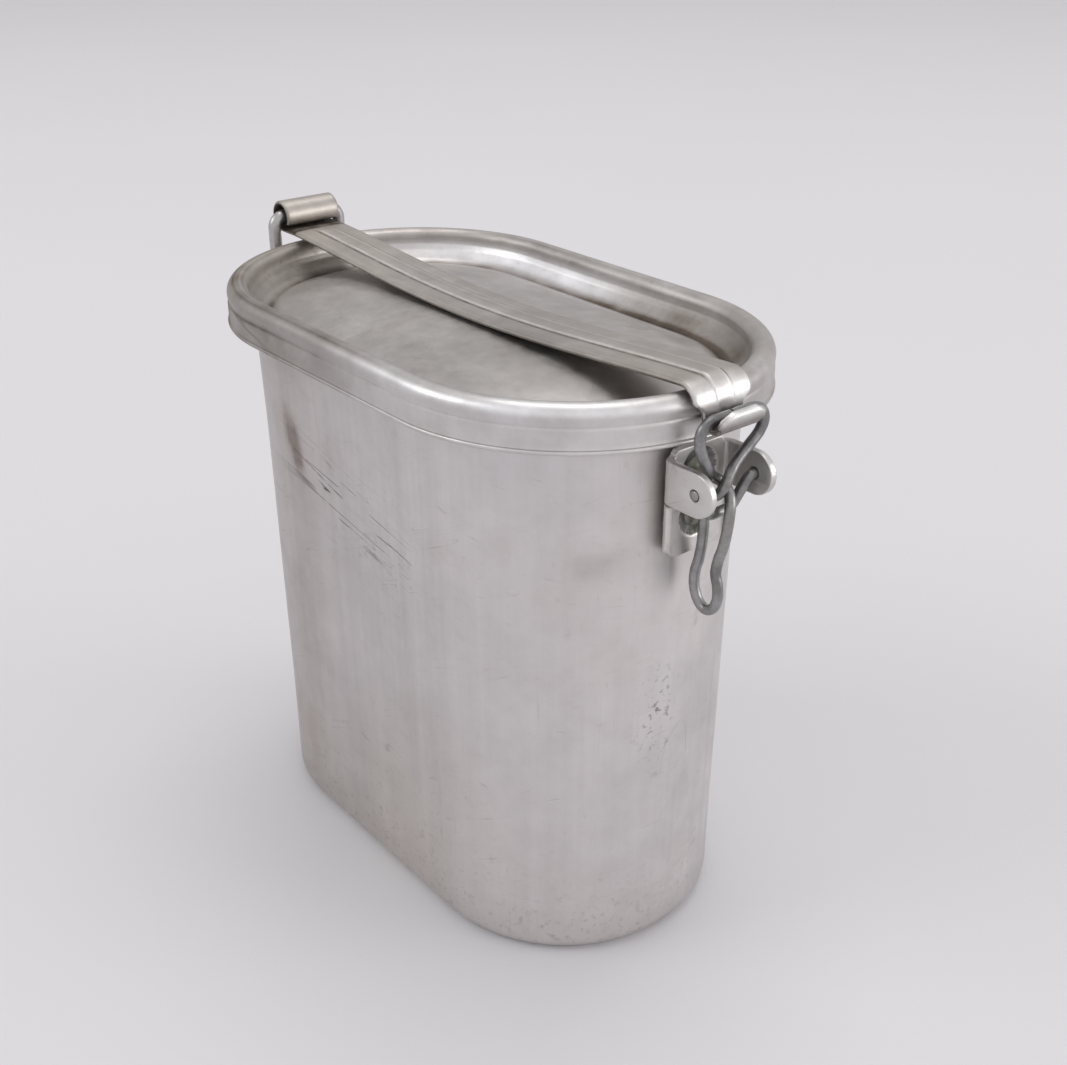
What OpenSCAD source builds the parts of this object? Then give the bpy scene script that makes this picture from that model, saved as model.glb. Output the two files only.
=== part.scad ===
// Oval aluminium food canteen: a deep pot, a lid with a sunken top, and a
// strap that crosses the lid. The strap is rolled round a ring at one end
// of the pot, and a wire latch pulls its hook down at the other end.
// +X runs to the latch end, +Z is up, the origin is the middle of the base.

/* [Pot] */
// Length of the straight sides between the round ends
straight_len = 72; // [60:1:90]
// Outer radius of the round ends at the top of the wall
wall_r = 46.2; // [44:0.2:48]
// How much narrower the round ends are at the base
taper = 1.5; // [0:0.1:3]
// Height of the middle of the rim's bead
rim_z = 169; // [169:1:200]
// Radius of the rounded lower edge
base_corner = 5; // [3:0.5:8]
// Thickness of the pot and lid sheet
sheet = 1.2; // [0.8:0.1:1.4]

/* [Lid] */
// Outer radius of the lid's rounded rim
lid_bead = 3.2; // [3:0.1:3.4]
// Height of the lid's skirt below the middle of its rim
skirt_drop = 8.8; // [8:0.1:9]
// Depth of the sunken top's edge below the middle of the rim
well_drop = 6.4; // [6:0.1:6.8]
// Rise of the domed top above its sunken edge
dome_rise = 6.1; // [4:0.1:6.2]

/* [Strap] */
// Width of the strap
strap_w = 19; // [18:0.2:19]
// Thickness of the strap
strap_t = 1.6; // [1.2:0.1:1.6]
// How far the strap sags in the middle
strap_sag = 4.6; // [1:0.1:4.8]
// Width of the raised rib along the strap
rib_w = 5.6; // [4:0.2:8]
// Height of the raised rib
rib_h = 0.6; // [0.3:0.1:0.8]

/* [Latch and ring] */
// Diameter of the two latch wires
wire_d = 2.8; // [2.4:0.1:2.8]
// Diameter of the ring's wire
ring_d = 4; // [3.6:0.1:4]
// Thickness of the bracket sheet
bracket_t = 2; // [1.6:0.1:2]
// Running clearance between a wire and its hole, on the radius
play = 0.1; // [0.05:0.01:0.1]

/* [Hidden] */
$fn = 64;

aluminium = "silver";
dull_aluminium = "darkgray";
steel = "dimgray";

// Plan of the rim
half = straight_len / 2;
bead_r = wall_r + 4.4;
rim_x = half + bead_r;
wall_x = half + wall_r;

// Overlap between a flat length of sheet and the bend beside it
lap = 0.05;

// Pot rim, which the lid's bead sits on
pot_bead = lid_bead - sheet - 0.3;
neck_low = rim_z - 11.8;
neck_high = rim_z - 7.5;
neck_r = bead_r - 1;

// Lid, as heights of the middle of its sheet
lid_arc = lid_bead - sheet / 2;
crease_z = rim_z - well_drop - sheet / 2;
crease_r = bead_r - 9.2;
dome_power = 2.6;
hem_r = 0.9;

// Strap, as heights of the middle of its sheet
strap_mid = rim_z + 5.6;
eye_r = 4.1;
eye_x = -(rim_x + 7.7);
eye_z = strap_mid + eye_r;
bend_r = 5.2;
bend_x = rim_x - 0.6;
hook_r = 3.1;
hook_x = bend_x + bend_r + hook_r;
hook_z = rim_z - 1.7;
neck_half = 6.6;
tongue_x = 1.6;
tongue_z = hook_z - 0.5;
tongue_half_w = strap_w / 2 - 1.2;
tongue_half_h = 3.5;
tongue_r = (pow(tongue_half_w, 2) + pow(tongue_half_h, 2)) / (2 * tongue_half_h);
hook_end = [hook_x + hook_r * cos(20), hook_z - hook_r * sin(20)];
lip_end = [hook_x + hook_r + 1, hook_z + 1.9];

// Pivots of the latch and the ring
pivot_x = rim_x + 7.7;
pivot_z = rim_z - 19.6;
lever_x = pivot_x - 1.9;
lever_z = pivot_z - 8.2;

// Brackets, which stand off the wall on two dimples
plate_in = wall_x + 0.8;
plate_out = plate_in + bracket_t;
dimple_in = wall_x + 0.02;
dimple_depth = 1;
ear_r = 5.7;
bend_out = 3;
front_half_w = 11.3;
rear_half_w = 7.4;
plate_top = rim_z - 12.2;
plate_bottom = rim_z - 41.2;
rivet_z = [rim_z - 19, rim_z - 31];
rivet_r = 2;
rivet_head_r = 3.7;
rivet_dome = 1.7;

// ---------------------------------------------------------------- helpers

function unit(v) = v / norm(v);

// A straight length of sheet in a side view
module segment(a, b, t) {
    d = b - a;
    translate(a) rotate(atan2(d.y, d.x)) translate([0, -t / 2]) square([norm(d), t]);
}

// A run of sheet through a list of points, rounded where it turns
module stroke(points, t) {
    for (i = [0 : len(points) - 2])
        segment(points[i], points[i + 1], t);
    for (i = [1 : 1 : len(points) - 2])
        translate(points[i]) circle(d = t);
}

// A bent length of sheet from angle a0 to angle a1
module arc_stroke(centre, r, a0, a1, t) {
    steps = 4;
    translate(centre) intersection() {
        difference() {
            circle(r = r + t / 2);
            circle(r = r - t / 2);
        }
        polygon([[0, 0], for (i = [0 : steps]) let (a = a0 + (a1 - a0) * i / steps)
            3 * r * [cos(a), sin(a)]]);
    }
}

// Carries a profile, drawn as radius and height, round the oval
module oval_sweep() {
    for (turn = [0, 180]) rotate(turn) {
        translate([half, 0, 0]) rotate(-90) rotate_extrude(angle = 180) children();
        translate([-half, 0, 0]) rotate([90, 0, 90]) linear_extrude(straight_len) children();
    }
}

// A rod along an axis, centred on the origin
module rod_y(d, length) {
    rotate([90, 0, 0]) cylinder(d = d, h = length, center = true);
}

module rod_z(d, z0, z1) {
    translate([0, 0, z0]) cylinder(d = d, h = z1 - z0);
}

// A bend of wire in the YZ plane: centre, bend radius, diameter, start and turn
module wire_bend(centre, r, d, start, sweep = 90) {
    translate([0, centre.x, centre.y]) rotate([90, 0, 90])
        rotate(start) rotate_extrude(angle = sweep) translate([r, 0]) circle(d = d);
}

// Points of a smooth curve through hand-placed points
function curve_point(p, i, t) =
    let (a = p[max(i - 1, 0)], b = p[i], c = p[i + 1], d = p[min(i + 2, len(p) - 1)])
    0.5 * (2 * b + (c - a) * t + (2 * a - 5 * b + 4 * c - d) * t * t
        + (3 * b - a - 3 * c + d) * t * t * t);
function curve(p, steps) = [
    for (i = [0 : len(p) - 2]) for (s = [0 : steps - 1]) curve_point(p, i, s / steps),
    p[len(p) - 1]];
function tangents(p) = [for (i = [0 : len(p) - 1])
    unit(p[min(i + 1, len(p) - 1)] - p[max(i - 1, 0)])];
function carried(t, i, n) = i == len(t) ? []
    : let (m = unit(n - (n * t[i]) * t[i])) concat([m], carried(t, i + 1, m));

// A round wire along a list of points
module wire(points, d, sides = 10) {
    t = tangents(points);
    n = carried(t, 0, [1, 0, 0]);
    last = len(points) - 1;
    rings = [for (i = [0 : last]) for (s = [0 : sides - 1])
        let (a = 360 * s / sides) points[i]
            + d / 2 * (cos(a) * n[i] + sin(a) * cross(t[i], n[i]))];
    sides_faces = [for (i = [0 : last - 1]) for (s = [0 : sides - 1]) [
        i * sides + s, (i + 1) * sides + s,
        (i + 1) * sides + (s + 1) % sides, i * sides + (s + 1) % sides]];
    near_cap = [for (s = [0 : sides - 1]) s];
    far_cap = [for (s = [sides - 1 : -1 : 0]) last * sides + s];
    polyhedron(rings, concat(sides_faces, [near_cap, far_cap]), convexity = 8);
}

// ------------------------------------------------------------------- pot

module pot_profile() {
    base_r = wall_r - taper;
    square([base_r - base_corner + lap, sheet]);
    arc_stroke([base_r - base_corner, base_corner], base_corner - sheet / 2, -90, 3, sheet);
    stroke([
        [base_r - sheet / 2, base_corner],
        [wall_r - sheet / 2, neck_low],
        [neck_r, neck_high],
        [neck_r, rim_z]], sheet);
    translate([bead_r, rim_z]) circle(r = pot_bead);
}

module pot() {
    color(aluminium) difference() {
        oval_sweep() pot_profile();
        for (end = [0, 180]) rotate(end)
            for (z = rivet_z)
                translate([wall_x, 0, z]) rotate([0, 90, 0])
                    cylinder(r = rivet_r + 0.02, h = 12, center = true);
    }
}

// ------------------------------------------------------------------- lid

function dome_z(r) = crease_z + dome_rise * (1 - pow(r / crease_r, dome_power));

module lid_profile() {
    arc_stroke([bead_r, rim_z], lid_arc, -2, 182, sheet);
    skirt_r = bead_r + lid_arc;
    hem_z = rim_z - skirt_drop + hem_r;
    stroke([[skirt_r, rim_z], [skirt_r, hem_z]], sheet);
    translate([skirt_r + 0.1, hem_z]) circle(r = hem_r);
    dome_edge = crease_r - 2.5;
    stroke([
        [bead_r - lid_arc, rim_z],
        [bead_r - 3.7, rim_z - 2.6],
        [crease_r + 2, crease_z + 0.9],
        [crease_r, crease_z],
        [dome_edge, dome_z(dome_edge)]], sheet);
    // Domed top, from just inside its edge to the centre line
    steps = 9;
    lap_r = 0.3;
    radii = [for (i = [0 : steps]) (dome_edge + lap_r) * (1 - i / steps)];
    polygon(concat([for (r = radii) [r, dome_z(r) + sheet / 2]],
        [for (i = [steps : -1 : 0]) [radii[i], dome_z(radii[i]) - sheet / 2]]));
}

module lid() {
    color(aluminium) oval_sweep() lid_profile();
}

// -------------------------------------------------------------- brackets

// A pressed clevis bracket, drawn on the +X end of the pot
module bracket(half_w, hole_r, dimple_r) {
    ear_z = [pivot_z - ear_r, pivot_z + ear_r];
    corner = min(6, half_w - 1);
    difference() {
        union() {
            // Flat plate, narrower between the bends of the ears
            translate([plate_in, 0, 0]) rotate([90, 0, 90]) linear_extrude(bracket_t) {
                translate([-half_w + bend_out, plate_bottom + corner])
                    square([2 * (half_w - bend_out), plate_top - plate_bottom - corner]);
                translate([-half_w, plate_bottom + corner])
                    square([2 * half_w, ear_z[0] - 0.6 - plate_bottom - corner]);
                for (side = [-1, 1])
                    translate([side * (half_w - corner), plate_bottom + corner]) circle(r = corner);
                translate([-half_w + corner, plate_bottom])
                    square([2 * (half_w - corner), corner]);
            }
            for (side = [0, 1]) mirror([0, side, 0]) {
                // Bend between plate and ear
                translate([plate_in + bend_out, half_w - bend_out, ear_z[0]])
                    linear_extrude(2 * ear_r)
                        arc_stroke([0, 0], bend_out - bracket_t / 2, 90, 180, bracket_t);
                // Ear with its rounded end
                translate([0, half_w, 0]) rotate([90, 0, 0]) linear_extrude(bracket_t) {
                    translate([plate_in + bend_out, ear_z[0]])
                        square([pivot_x - plate_in - bend_out, 2 * ear_r]);
                    translate([pivot_x, pivot_z]) circle(r = ear_r);
                }
            }
            for (z = rivet_z)
                translate([dimple_in, 0, z]) rotate([0, 90, 0])
                    cylinder(r = dimple_r, h = plate_in + 0.5 - dimple_in);
        }
        for (z = rivet_z) {
            translate([plate_out - dimple_depth, 0, z]) rotate([0, 90, 0])
                cylinder(r1 = dimple_r - 1.2, r2 = dimple_r, h = dimple_depth + 0.01);
            translate([wall_x, 0, z]) rotate([0, 90, 0])
                cylinder(r = rivet_r + 0.02, h = 20, center = true);
        }
        translate([pivot_x, 0, pivot_z]) rod_y(2 * hole_r, 2 * half_w + 4);
    }
}

// Domed rivets through one bracket and the wall behind it
module rivets() {
    head_x = plate_out - dimple_depth + 0.02;
    inner_x = wall_x - sheet - 0.35 - taper * 0.25;
    dome_r = (rivet_head_r * rivet_head_r + rivet_dome * rivet_dome) / (2 * rivet_dome);
    for (z = rivet_z)
        translate([inner_x, 0, z]) rotate([0, 90, 0]) rotate_extrude() {
            square([rivet_r, head_x - inner_x + 0.5]);
            intersection() {
                translate([0, head_x - inner_x + rivet_dome - dome_r]) circle(r = dome_r);
                translate([0, head_x - inner_x]) square([rivet_head_r, 4]);
            }
            polygon([[0, 0.01], [rivet_head_r, 0.01], [rivet_head_r - 0.6, -1], [0, -1]]);
        }
}

module front_bracket() {
    color(aluminium) bracket(front_half_w, wire_d / 2 + play, 6.4);
}

module front_rivets() {
    color(dull_aluminium) rivets();
}

module rear_bracket() {
    color(aluminium) rotate(180) bracket(rear_half_w, ring_d / 2 + play, 5.6);
}

module rear_rivets() {
    color(dull_aluminium) rotate(180) rivets();
}

// ----------------------------------------------------------- ring, strap

module rear_ring() {
    corner = 3.5;
    leg_y = strap_w / 2 + ring_d / 2 + 0.4;
    color(aluminium) translate([eye_x, 0, 0]) {
        for (z = [pivot_z, eye_z])
            translate([0, 0, z]) rod_y(ring_d, 2 * (leg_y - corner));
        for (side = [0, 1]) mirror([0, side, 0]) {
            translate([0, leg_y, 0]) rod_z(ring_d, pivot_z + corner, eye_z - corner);
            wire_bend([leg_y - corner, eye_z - corner], corner, ring_d, 0);
            wire_bend([leg_y - corner, pivot_z + corner], corner, ring_d, -90);
        }
    }
}

// Side view of the strap, raised off its underside by lift
module strap_profile(lift, t) {
    from_x = eye_x + 6.5;
    steps = 12;
    flat = [for (i = [0 : steps])
        let (x = from_x + (bend_x - from_x) * i / steps,
             lean = cos(90 * x / max(-from_x, bend_x)))
        [x, strap_mid + lift - strap_sag * pow(max(lean, 0), 1.3)]];
    stroke(concat([[eye_x, strap_mid + lift]], flat), t);
    arc_stroke([bend_x, strap_mid - bend_r], bend_r + lift, -2, 92, t);
    stroke([[bend_x + bend_r + lift, strap_mid - bend_r],
            [bend_x + bend_r + lift, hook_z]], t);
}

module strap() {
    color(aluminium) difference() {
        union() {
            rotate([90, 0, 0]) linear_extrude(strap_w, center = true) {
                strap_profile(0, strap_t);
                arc_stroke([eye_x, eye_z], eye_r, -28, 272, strap_t);
                arc_stroke([hook_x, hook_z], hook_r, 178, 340, strap_t);
                stroke([hook_end, lip_end], strap_t);
                for (p = [hook_end, lip_end])
                    translate(p) circle(d = strap_t);
            }
            // Raised rib, stopping short of the eye and the hook
            intersection() {
                rotate([90, 0, 0]) linear_extrude(rib_w, center = true)
                    strap_profile(rib_h, strap_t);
                translate([eye_x + 5.5, -rib_w, hook_z])
                    cube([2 * rim_x, 2 * rib_w, 20]);
            }
        }
        // Narrow neck of the hook, with the wire's strands on both sides of it
        for (side = [0, 1]) mirror([0, side, 0])
            translate([bend_x + 2, 0, 0]) rotate([90, 0, 90])
                linear_extrude(hook_x + tongue_x - bend_x - 2)
                    polygon([[neck_half, hook_z - 8], [neck_half, hook_z + 0.8],
                             [strap_w / 2 + 0.1, hook_z + 3.6],
                             [strap_w, hook_z + 3.6], [strap_w, hook_z - 8]]);
        // Leaf-shaped outline of the tongue
        translate([hook_x + tongue_x - 0.01, 0, tongue_z]) rotate([90, 0, 90])
            linear_extrude(8) difference() {
                square(2 * strap_w, center = true);
                intersection_for (way = [-1, 1])
                    translate([0, way * (tongue_r - tongue_half_h)]) circle(r = tongue_r);
            }
    }
}

// ----------------------------------------------------------------- latch

// Stirrup link: a V of wire whose ends turn in the bracket's ears
module latch_link() {
    drop = norm([pivot_x - lever_x, pivot_z - lever_z]);
    lean = atan2(pivot_x - lever_x, pivot_z - lever_z);
    slope = 65;
    low_bend = 2.6;
    high_bend = 1.6;
    low_y = 2.2;
    leg = (drop - (low_bend + high_bend) * (1 - cos(slope))) / sin(slope);
    leg_y = low_y + low_bend * sin(slope);
    high_y = round(100 * (leg_y + leg * cos(slope) + high_bend * sin(slope))) / 100;
    end_y = front_half_w + 0.4;
    leg_z = low_bend * (1 - cos(slope)) - drop;
    color(steel) translate([pivot_x, 0, pivot_z]) rotate([0, lean, 0]) {
        translate([0, 0, -drop]) rod_y(wire_d, 2 * low_y);
        for (side = [0, 1]) mirror([0, side, 0]) {
            wire_bend([low_y, low_bend - drop], low_bend, wire_d, -90, slope);
            translate([0, leg_y, leg_z]) rotate([slope - 90, 0, 0])
                rod_z(wire_d - lap, -2 * lap, leg + 2 * lap);
            wire_bend([high_y, -high_bend], high_bend, wire_d, 90, slope);
            translate([0, (high_y + end_y) / 2, 0]) rod_y(wire_d, end_y - high_y);
        }
    }
}

// Closing lever: one wire. Its bail lies in the strap's hook, its two
// strands twist together, and its pear-shaped finger loop hangs below
// with the link through it. Points are offsets from the link's bar.
lever_route = [
    [1.6, 0.3, 25.7], [1.6, 4, 25.7], [1.6, 7.8, 25.6], [1.5, 10.7, 24.4],
    [1.4, 12, 21.6], [1.4, 10.5, 18.6], [1.4, 7, 15.8], [1.7, 3.2, 13.2],
    [2.2, 0.5, 10.8], [2.4, -1.3, 8.2], [1.5, -2.3, 5.9], [-0.6, -2.3, 4.3],
    [-2.6, -1.7, 2], [-3.5, -1.4, -1.5], [-3.7, -1.2, -5.5], [-4, -1.1, -10],
    [-4.8, -1, -14.5], [-5.8, -1, -18.5], [-5.8, -1, -22.5], [-4.3, -1, -26],
    [-1.7, -1, -27.6], [0.9, -1, -26.4], [2.2, -1, -23.2], [2, -1, -19.6],
    [1.1, -1, -16.4], [1.6, -1, -12.6], [2.8, -0.9, -8.6], [3.6, -0.8, -4],
    [3.8, -0.5, 0.6], [3.2, 0.1, 3.8], [1.6, 0.8, 5.9], [-0.5, 0.6, 7.6],
    [-1.1, -1.8, 9.4], [0, -4.1, 11.2], [1, -6.2, 13.6], [1.4, -8.4, 17],
    [1.4, -9.8, 20.6], [1.5, -9.5, 23.6], [1.6, -7.4, 25.4], [1.6, -3.6, 25.7],
    [1.6, -0.3, 25.7]];

module closing_lever() {
    color(steel) translate([lever_x, 0, lever_z]) wire(curve(lever_route, 2), wire_d);
}

pot();
front_bracket();
front_rivets();
rear_bracket();
rear_rivets();
lid();
rear_ring();
strap();
latch_link();
closing_lever();
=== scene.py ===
import math
import bmesh
import bpy
import numpy as np
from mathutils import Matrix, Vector, noise


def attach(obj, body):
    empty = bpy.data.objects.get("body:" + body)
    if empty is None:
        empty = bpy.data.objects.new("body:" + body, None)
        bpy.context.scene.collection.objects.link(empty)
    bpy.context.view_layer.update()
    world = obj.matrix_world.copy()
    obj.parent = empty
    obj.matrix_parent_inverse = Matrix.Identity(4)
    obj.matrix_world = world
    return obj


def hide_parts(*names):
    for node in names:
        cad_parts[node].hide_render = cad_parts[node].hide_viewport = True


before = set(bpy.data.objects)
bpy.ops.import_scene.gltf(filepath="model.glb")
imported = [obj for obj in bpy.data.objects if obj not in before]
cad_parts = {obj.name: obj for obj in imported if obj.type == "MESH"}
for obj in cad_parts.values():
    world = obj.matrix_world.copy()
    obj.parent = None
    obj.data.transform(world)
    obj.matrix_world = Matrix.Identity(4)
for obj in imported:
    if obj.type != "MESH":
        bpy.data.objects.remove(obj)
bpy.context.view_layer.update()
MM = 0.001

# --------------------------------------------------------------- dimensions
# The same numbers as the CAD source, in millimetres.
HALF = 36.0
WALL_R, TAPER, SHEET, BASE_CORNER = 46.2, 1.5, 1.2, 5.0
RIM_Z, BEAD_R = 169.0, 50.6
NECK_R, NECK_LOW, NECK_HIGH = 49.6, 157.2, 161.5
EYE = (-94.3, 178.7)
STRAP_MID, STRAP_T, STRAP_W = 174.6, 1.6, 19.0
BEND = (86.0, 169.4, 5.2)
HOOK = (94.3, 167.3, 3.1)
PIVOT = (94.3, 149.4)
LEVER_O = (92.4, 141.2)
WALL_X = HALF + WALL_R
PLATE_IN = WALL_X + 0.8
BRACKET_T = 2.0
RIVET_Z = (150.0, 138.0)
RING_D, WIRE_D = 4.0, 2.8
BASE_R = WALL_R - TAPER
CREASE_R, CREASE_Z = BEAD_R - 9.2, RIM_Z - 7.0


# ------------------------------------------------------------- mesh helpers
def make(name, verts, faces, body, nodes, material, flow=None, paint=None):
    """A smooth mesh piece that rides on a CAD body and stands for CAD nodes.

    flow holds coordinates that follow a wire or strap, and paint holds values from 0 to 2
    that the materials read: soil with painted shade, marks, wear with painted sheen, and specks.
    """
    mesh = bpy.data.meshes.new(name)
    mesh.from_pydata([tuple(v) for v in np.asarray(verts) * MM], [], faces)
    mesh.validate()
    for polygon in mesh.polygons:
        polygon.use_smooth = True
    if flow is not None:
        layer = mesh.attributes.new("flow", "FLOAT_VECTOR", "POINT")
        layer.data.foreach_set("vector", (np.asarray(flow) * MM).astype(np.float32).ravel())
    for key, values in (paint or {}).items():
        layer = mesh.attributes.new(key, "FLOAT", "POINT")
        layer.data.foreach_set("value", np.clip(values, 0, 2).astype(np.float32))
    obj = bpy.data.objects.new(name, mesh)
    bpy.context.scene.collection.objects.link(obj)
    mesh.materials.append(material)
    fix_normals(mesh)
    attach(obj, body)
    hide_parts(*nodes)
    return obj


def fix_normals(mesh):
    """Joins points that coincide, and turns every face outwards."""
    bm = bmesh.new()
    bm.from_mesh(mesh)
    bmesh.ops.remove_doubles(bm, verts=bm.verts, dist=1e-7)
    bmesh.ops.recalc_face_normals(bm, faces=bm.faces)
    bm.to_mesh(mesh)
    bm.free()


def grid_faces(rows, cols, wrap_rows, wrap_cols):
    """Four-sided faces between rows of points, closed along either way if it wraps."""
    faces = []
    for i in range(rows if wrap_rows else rows - 1):
        for j in range(cols if wrap_cols else cols - 1):
            a, b = i * cols + j, ((i + 1) % rows) * cols + j
            c, d = ((i + 1) % rows) * cols + (j + 1) % cols, i * cols + (j + 1) % cols
            faces.append((a, b, c, d))
    return faces


def arc(centre, radius, start, end, count):
    """Points on an arc, angles in degrees, as (across, up)."""
    a = np.radians(np.linspace(start, end, count))
    return [(centre[0] + radius * math.cos(t), centre[1] + radius * math.sin(t)) for t in a]


def resample(points, step):
    """A polyline with extra points, so that no edge is longer than step."""
    out = [points[0]]
    for p, q in zip(points, points[1:]):
        n = max(1, int(math.ceil(math.dist(p, q) / step)))
        out += [tuple(np.add(p, np.subtract(q, p) * k / n)) for k in range(1, n + 1)]
    return out


def rounded(points, radii, steps=7):
    """A polyline with each corner between its ends filleted to its own radius."""
    out = [points[0]]
    for i in range(1, len(points) - 1):
        p, c, q = (np.array(points[k], float) for k in (i - 1, i, i + 1))
        u, v = (p - c) / np.linalg.norm(p - c), (q - c) / np.linalg.norm(q - c)
        angle = math.acos(max(-1, min(1, float(u @ v))))
        cut = min(radii[i - 1] / math.tan(angle / 2), 0.48 * np.linalg.norm(p - c),
                  0.48 * np.linalg.norm(q - c))
        a, b = c + u * cut, c + v * cut
        for k in range(steps + 1):
            t = k / steps
            out.append(tuple((1 - t) ** 2 * a + 2 * t * (1 - t) * c + t * t * b))
    out.append(points[-1])
    return out


def offset(points, distance):
    """The polyline moved sideways, to its left."""
    p = np.array(points, float)
    t = np.gradient(p, axis=0)
    t /= np.linalg.norm(t, axis=1)[:, None]
    return p + distance * np.stack([-t[:, 1], t[:, 0]], 1)


def oval():
    """Stations round the oval: points on its middle line, and the outward normal at each."""
    end_steps, side_steps = 72, 60
    centre, normal = [], []
    for side in (1, -1):
        for a in np.radians(np.linspace(-90, 90, end_steps, endpoint=False)):
            centre.append((side * HALF, 0))
            normal.append((side * math.cos(a), side * math.sin(a)))
        for t in np.linspace(0, 1, side_steps, endpoint=False):
            centre.append((side * HALF * (1 - 2 * t), 0))
            normal.append((0, side))
    return np.array(centre), np.array(normal)


def sweep_oval(profile, shape):
    """Carries a closed profile of (radius, height) points round the oval, then shapes it."""
    centre, normal = oval()
    r, z = np.array(profile).T
    xy = centre[:, None] + normal[:, None] * r[None, :, None]
    points = np.concatenate([xy, np.broadcast_to(z[None, :, None], xy.shape[:2] + (1,))], 2)
    points = points.reshape(-1, 3)
    normals, radii = np.repeat(normal, len(r), axis=0), np.tile(r, len(centre))
    points = shape(points, normals, radii)
    faces = grid_faces(len(centre), len(r), True, True)
    # nothing spans the middle, where the profile's two ends meet the centre line
    faces = [f for f in faces if any(radii[k] > 0.01 for k in f)]
    return points, faces, normals, radii


def smooth(low, high, value):
    """0 at low, 1 at high, with an eased step between them."""
    t = np.clip((np.asarray(value, float) - low) / (high - low), 0, 1)
    return t * t * (3 - 2 * t)


def bump(value, centre, width):
    """1 at the centre, falling smoothly to either side."""
    return np.exp(-((np.asarray(value, float) - centre) / width) ** 2)


def wave(points, scale, seed):
    """Smooth noise, about -1 to 1, at points in millimetres."""
    shift = Vector((seed * 7.3, seed * 3.1, seed * 5.7))
    return np.array([noise.noise(Vector(p) / scale + shift) for p in points])


def catmull(points, steps):
    """A smooth curve through every point (Catmull-Rom)."""
    p = np.array(points, float)
    out = []
    for i in range(len(p) - 1):
        a, b, c, d = p[max(i - 1, 0)], p[i], p[i + 1], p[min(i + 2, len(p) - 1)]
        for k in range(steps):
            t = k / steps
            out.append(0.5 * (2 * b + (c - a) * t + (2 * a - 5 * b + 4 * c - d) * t * t
                              + (3 * b - a - 3 * c + d) * t ** 3))
    return np.array(out + [p[-1]])


def tube(path, diameter, sides, squeeze, closed=False, round_ends=0.0):
    """A slightly uneven round wire along a path, closed in a loop or with domed ends."""
    p = np.array(path, float)
    if closed:
        t = np.roll(p, -1, 0) - np.roll(p, 1, 0)
    else:
        t = np.gradient(p, axis=0)
    t /= np.linalg.norm(t, axis=1)[:, None]
    n = np.cross(t[0], (0.3, 0.9, 0.1))
    normals = []
    for tangent in t:
        n = n - (n @ tangent) * tangent
        n /= np.linalg.norm(n)
        normals.append(n)
    normals = np.array(normals)
    if closed:
        # spread the leftover twist along the loop
        last = normals[-1] - (normals[-1] @ t[0]) * t[0]
        twist = math.atan2(np.cross(last, normals[0]) @ t[0], last @ normals[0])
        angles = np.linspace(0, twist, len(p))
        normals = np.array([v * math.cos(a) + np.cross(w, v) * math.sin(a)
                            for v, w, a in zip(normals, t, angles)])
    side = np.cross(t, normals)
    s = np.concatenate([[0], np.cumsum(np.linalg.norm(np.diff(p, axis=0), axis=1))])
    radius = diameter / 2 * (1 - squeeze * np.abs(wave(p, 2.2, 4)))
    if closed:
        rings = list(zip(p, normals, side, radius, s))
    else:
        # a domed end: extra rings that shrink
        head, tail = [], []
        for k in (0.0, 0.35, 0.7, 0.92):
            shrink = math.sqrt(1 - k * k)
            head.append((p[0] + t[0] * round_ends * (1 - k), shrink))
            tail.append((p[-1] - t[-1] * round_ends * (1 - k), shrink))
        keep = (s > round_ends) & (s < s[-1] - round_ends)
        rings = [(c, normals[0], side[0], radius[0] * f, 0) for c, f in head[::-1]]
        rings += [(p[i], normals[i], side[i], radius[i], s[i]) for i in np.where(keep)[0]]
        rings += [(c, normals[-1], side[-1], radius[-1] * f, s[-1]) for c, f in tail]
    verts, flow = [], []
    for c, a, b, r, along in rings:
        for k in range(sides):
            angle = 2 * math.pi * k / sides
            verts.append(c + r * (math.cos(angle) * a + math.sin(angle) * b))
            flow.append((along, diameter * math.cos(angle), diameter * math.sin(angle)))
    faces = grid_faces(len(rings), sides, closed, True)
    if not closed:
        faces.append(tuple(range(sides)))
        faces.append(tuple(range(len(verts) - 1, len(verts) - 1 - sides, -1)))
    return verts, faces, flow


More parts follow.
